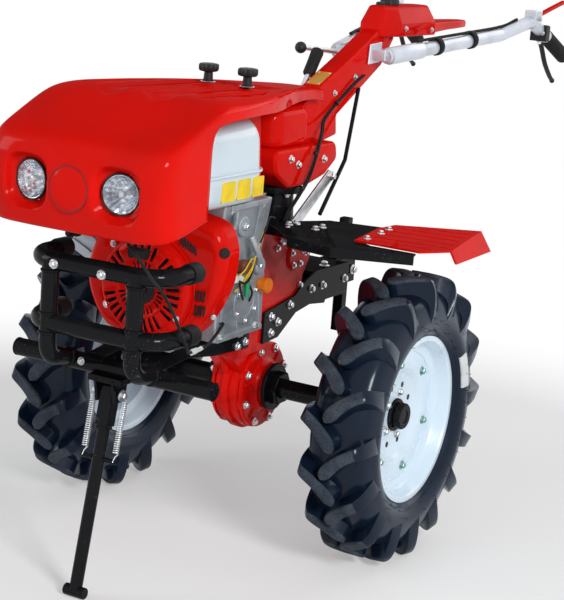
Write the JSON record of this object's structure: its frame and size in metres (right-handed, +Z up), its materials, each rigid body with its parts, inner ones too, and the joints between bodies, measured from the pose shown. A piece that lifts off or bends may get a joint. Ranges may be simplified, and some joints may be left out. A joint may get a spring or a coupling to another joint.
{
  "type": "walking tractor",
  "caption": "Two-wheeled walk-behind tractor with a petrol engine and hood in front of the driven axle, a raised handlebar column behind, a tube bumper and a fold-up parking stand.",
  "frame": {"origin": "on the ground, under the middle of the object's box", "axes": "+Z up; the front, with hood and headlights, faces -Y; the machine's left side faces +X; the axle is parallel to X"},
  "size_m": [0.904, 1.7894, 1.0848],
  "materials": {
    "hood_plastic": "glossy red moulded plastic",
    "red_plastic": "glossy red",
    "casting_paint": "red paint over rough casting",
    "engine_paint": "red enamel on pressed steel",
    "frame_paint": "satin black powder coat",
    "bumper_paint": "glossy black enamel on tube",
    "rim_paint": "glossy white enamel",
    "tank_paint": "glossy pale grey enamel",
    "bar_paint": "silver white enamel on tube",
    "tyre_rubber": "new tyre rubber, a little dusty",
    "grip_rubber": "matte black rubber",
    "zinc_steel": "zinc plated",
    "cast_alloy": "sand-cast aluminium",
    "black_plastic": "moulded black plastic",
    "orange_plastic": "orange plastic",
    "cable_sheath": "black sheath",
    "lamp_glass": "clear faceted lens"
  },
  "bodies": {
    "chassis": {"gearbox": "casting_paint", "axle_collar_left": "frame_paint", "axle_collar_right": "frame_paint", "rear_plate_left": "frame_paint", "rear_plate_right": "frame_paint", "hitch_bracket": "frame_paint", "hitch_bar": "frame_paint", "engine_bed": "frame_paint", "bumper_cage": "bumper_paint", "bumper_base": "bumper_paint", "engine_block": "cast_alloy", "cylinder_head": "cast_alloy", "fan_shroud": "engine_paint", "recoil_starter": "engine_paint", "recoil_handle": "black_plastic", "fuel_tank": "tank_paint", "fuel_cap": "black_plastic", "air_cleaner": "black_plastic", "muffler": "zinc_steel", "oil_filler_cap": "orange_plastic", "hood": "hood_plastic", "headlight_left": "lamp_glass", "headlight_right": "lamp_glass", "hood_stay": "casting_paint", "hood_knob_left": "black_plastic", "hood_knob_right": "black_plastic", "turret": "frame_paint", "column": "casting_paint", "column_dome": "casting_paint", "console": "hood_plastic", "console_knob": "black_plastic", "gear_lever": "grip_rubber", "lock_lever": "black_plastic", "linkage_lever": "zinc_steel", "fender_bracket": "frame_paint", "fender_plate_left": "frame_paint", "fender_plate_right": "frame_paint", "fender_left": "hood_plastic", "fender_right": "hood_plastic", "control_rod": "frame_paint", "headlight_lead": "cable_sheath", "control_cables": "cable_sheath"},
    "wheels": {"axle": "frame_paint", "rim_left": "rim_paint", "rim_right": "rim_paint", "tyre_left": "tyre_rubber", "tyre_right": "tyre_rubber"},
    "front_stand": {"stand_leg": "bumper_paint", "stand_spring_left": "zinc_steel", "stand_spring_right": "zinc_steel"},
    "handlebars": {"handlebar_pin": "zinc_steel", "handlebar_left": "bar_paint", "handlebar_right": "bar_paint", "grip_left": "grip_rubber", "grip_right": "grip_rubber", "clutch_lever_left": "black_plastic", "clutch_lever_right": "black_plastic", "lever_cable_left": "cable_sheath", "lever_cable_right": "cable_sheath", "throttle_lever": "red_plastic"}
  },
  "joints": [
    {"name": "wheel_roll", "type": "hinge", "parent": "chassis", "child": "wheels", "pos_m": [0, -0.23073, 0.29], "axis": [1, 0, 0], "continuous": true},
    {"name": "stand_fold", "type": "hinge", "parent": "chassis", "child": "front_stand", "pos_m": [0, -0.73573, 0.372], "axis": [1, 0, 0], "range_deg": [0, 80], "deforming": ["stand_spring_left", "stand_spring_right"]},
    {"name": "handlebar_tilt", "type": "hinge", "parent": "chassis", "child": "handlebars", "pos_m": [0, 0.17627, 0.957], "axis": [1, 0, 0], "range_deg": [-10, 12]}
  ]
}
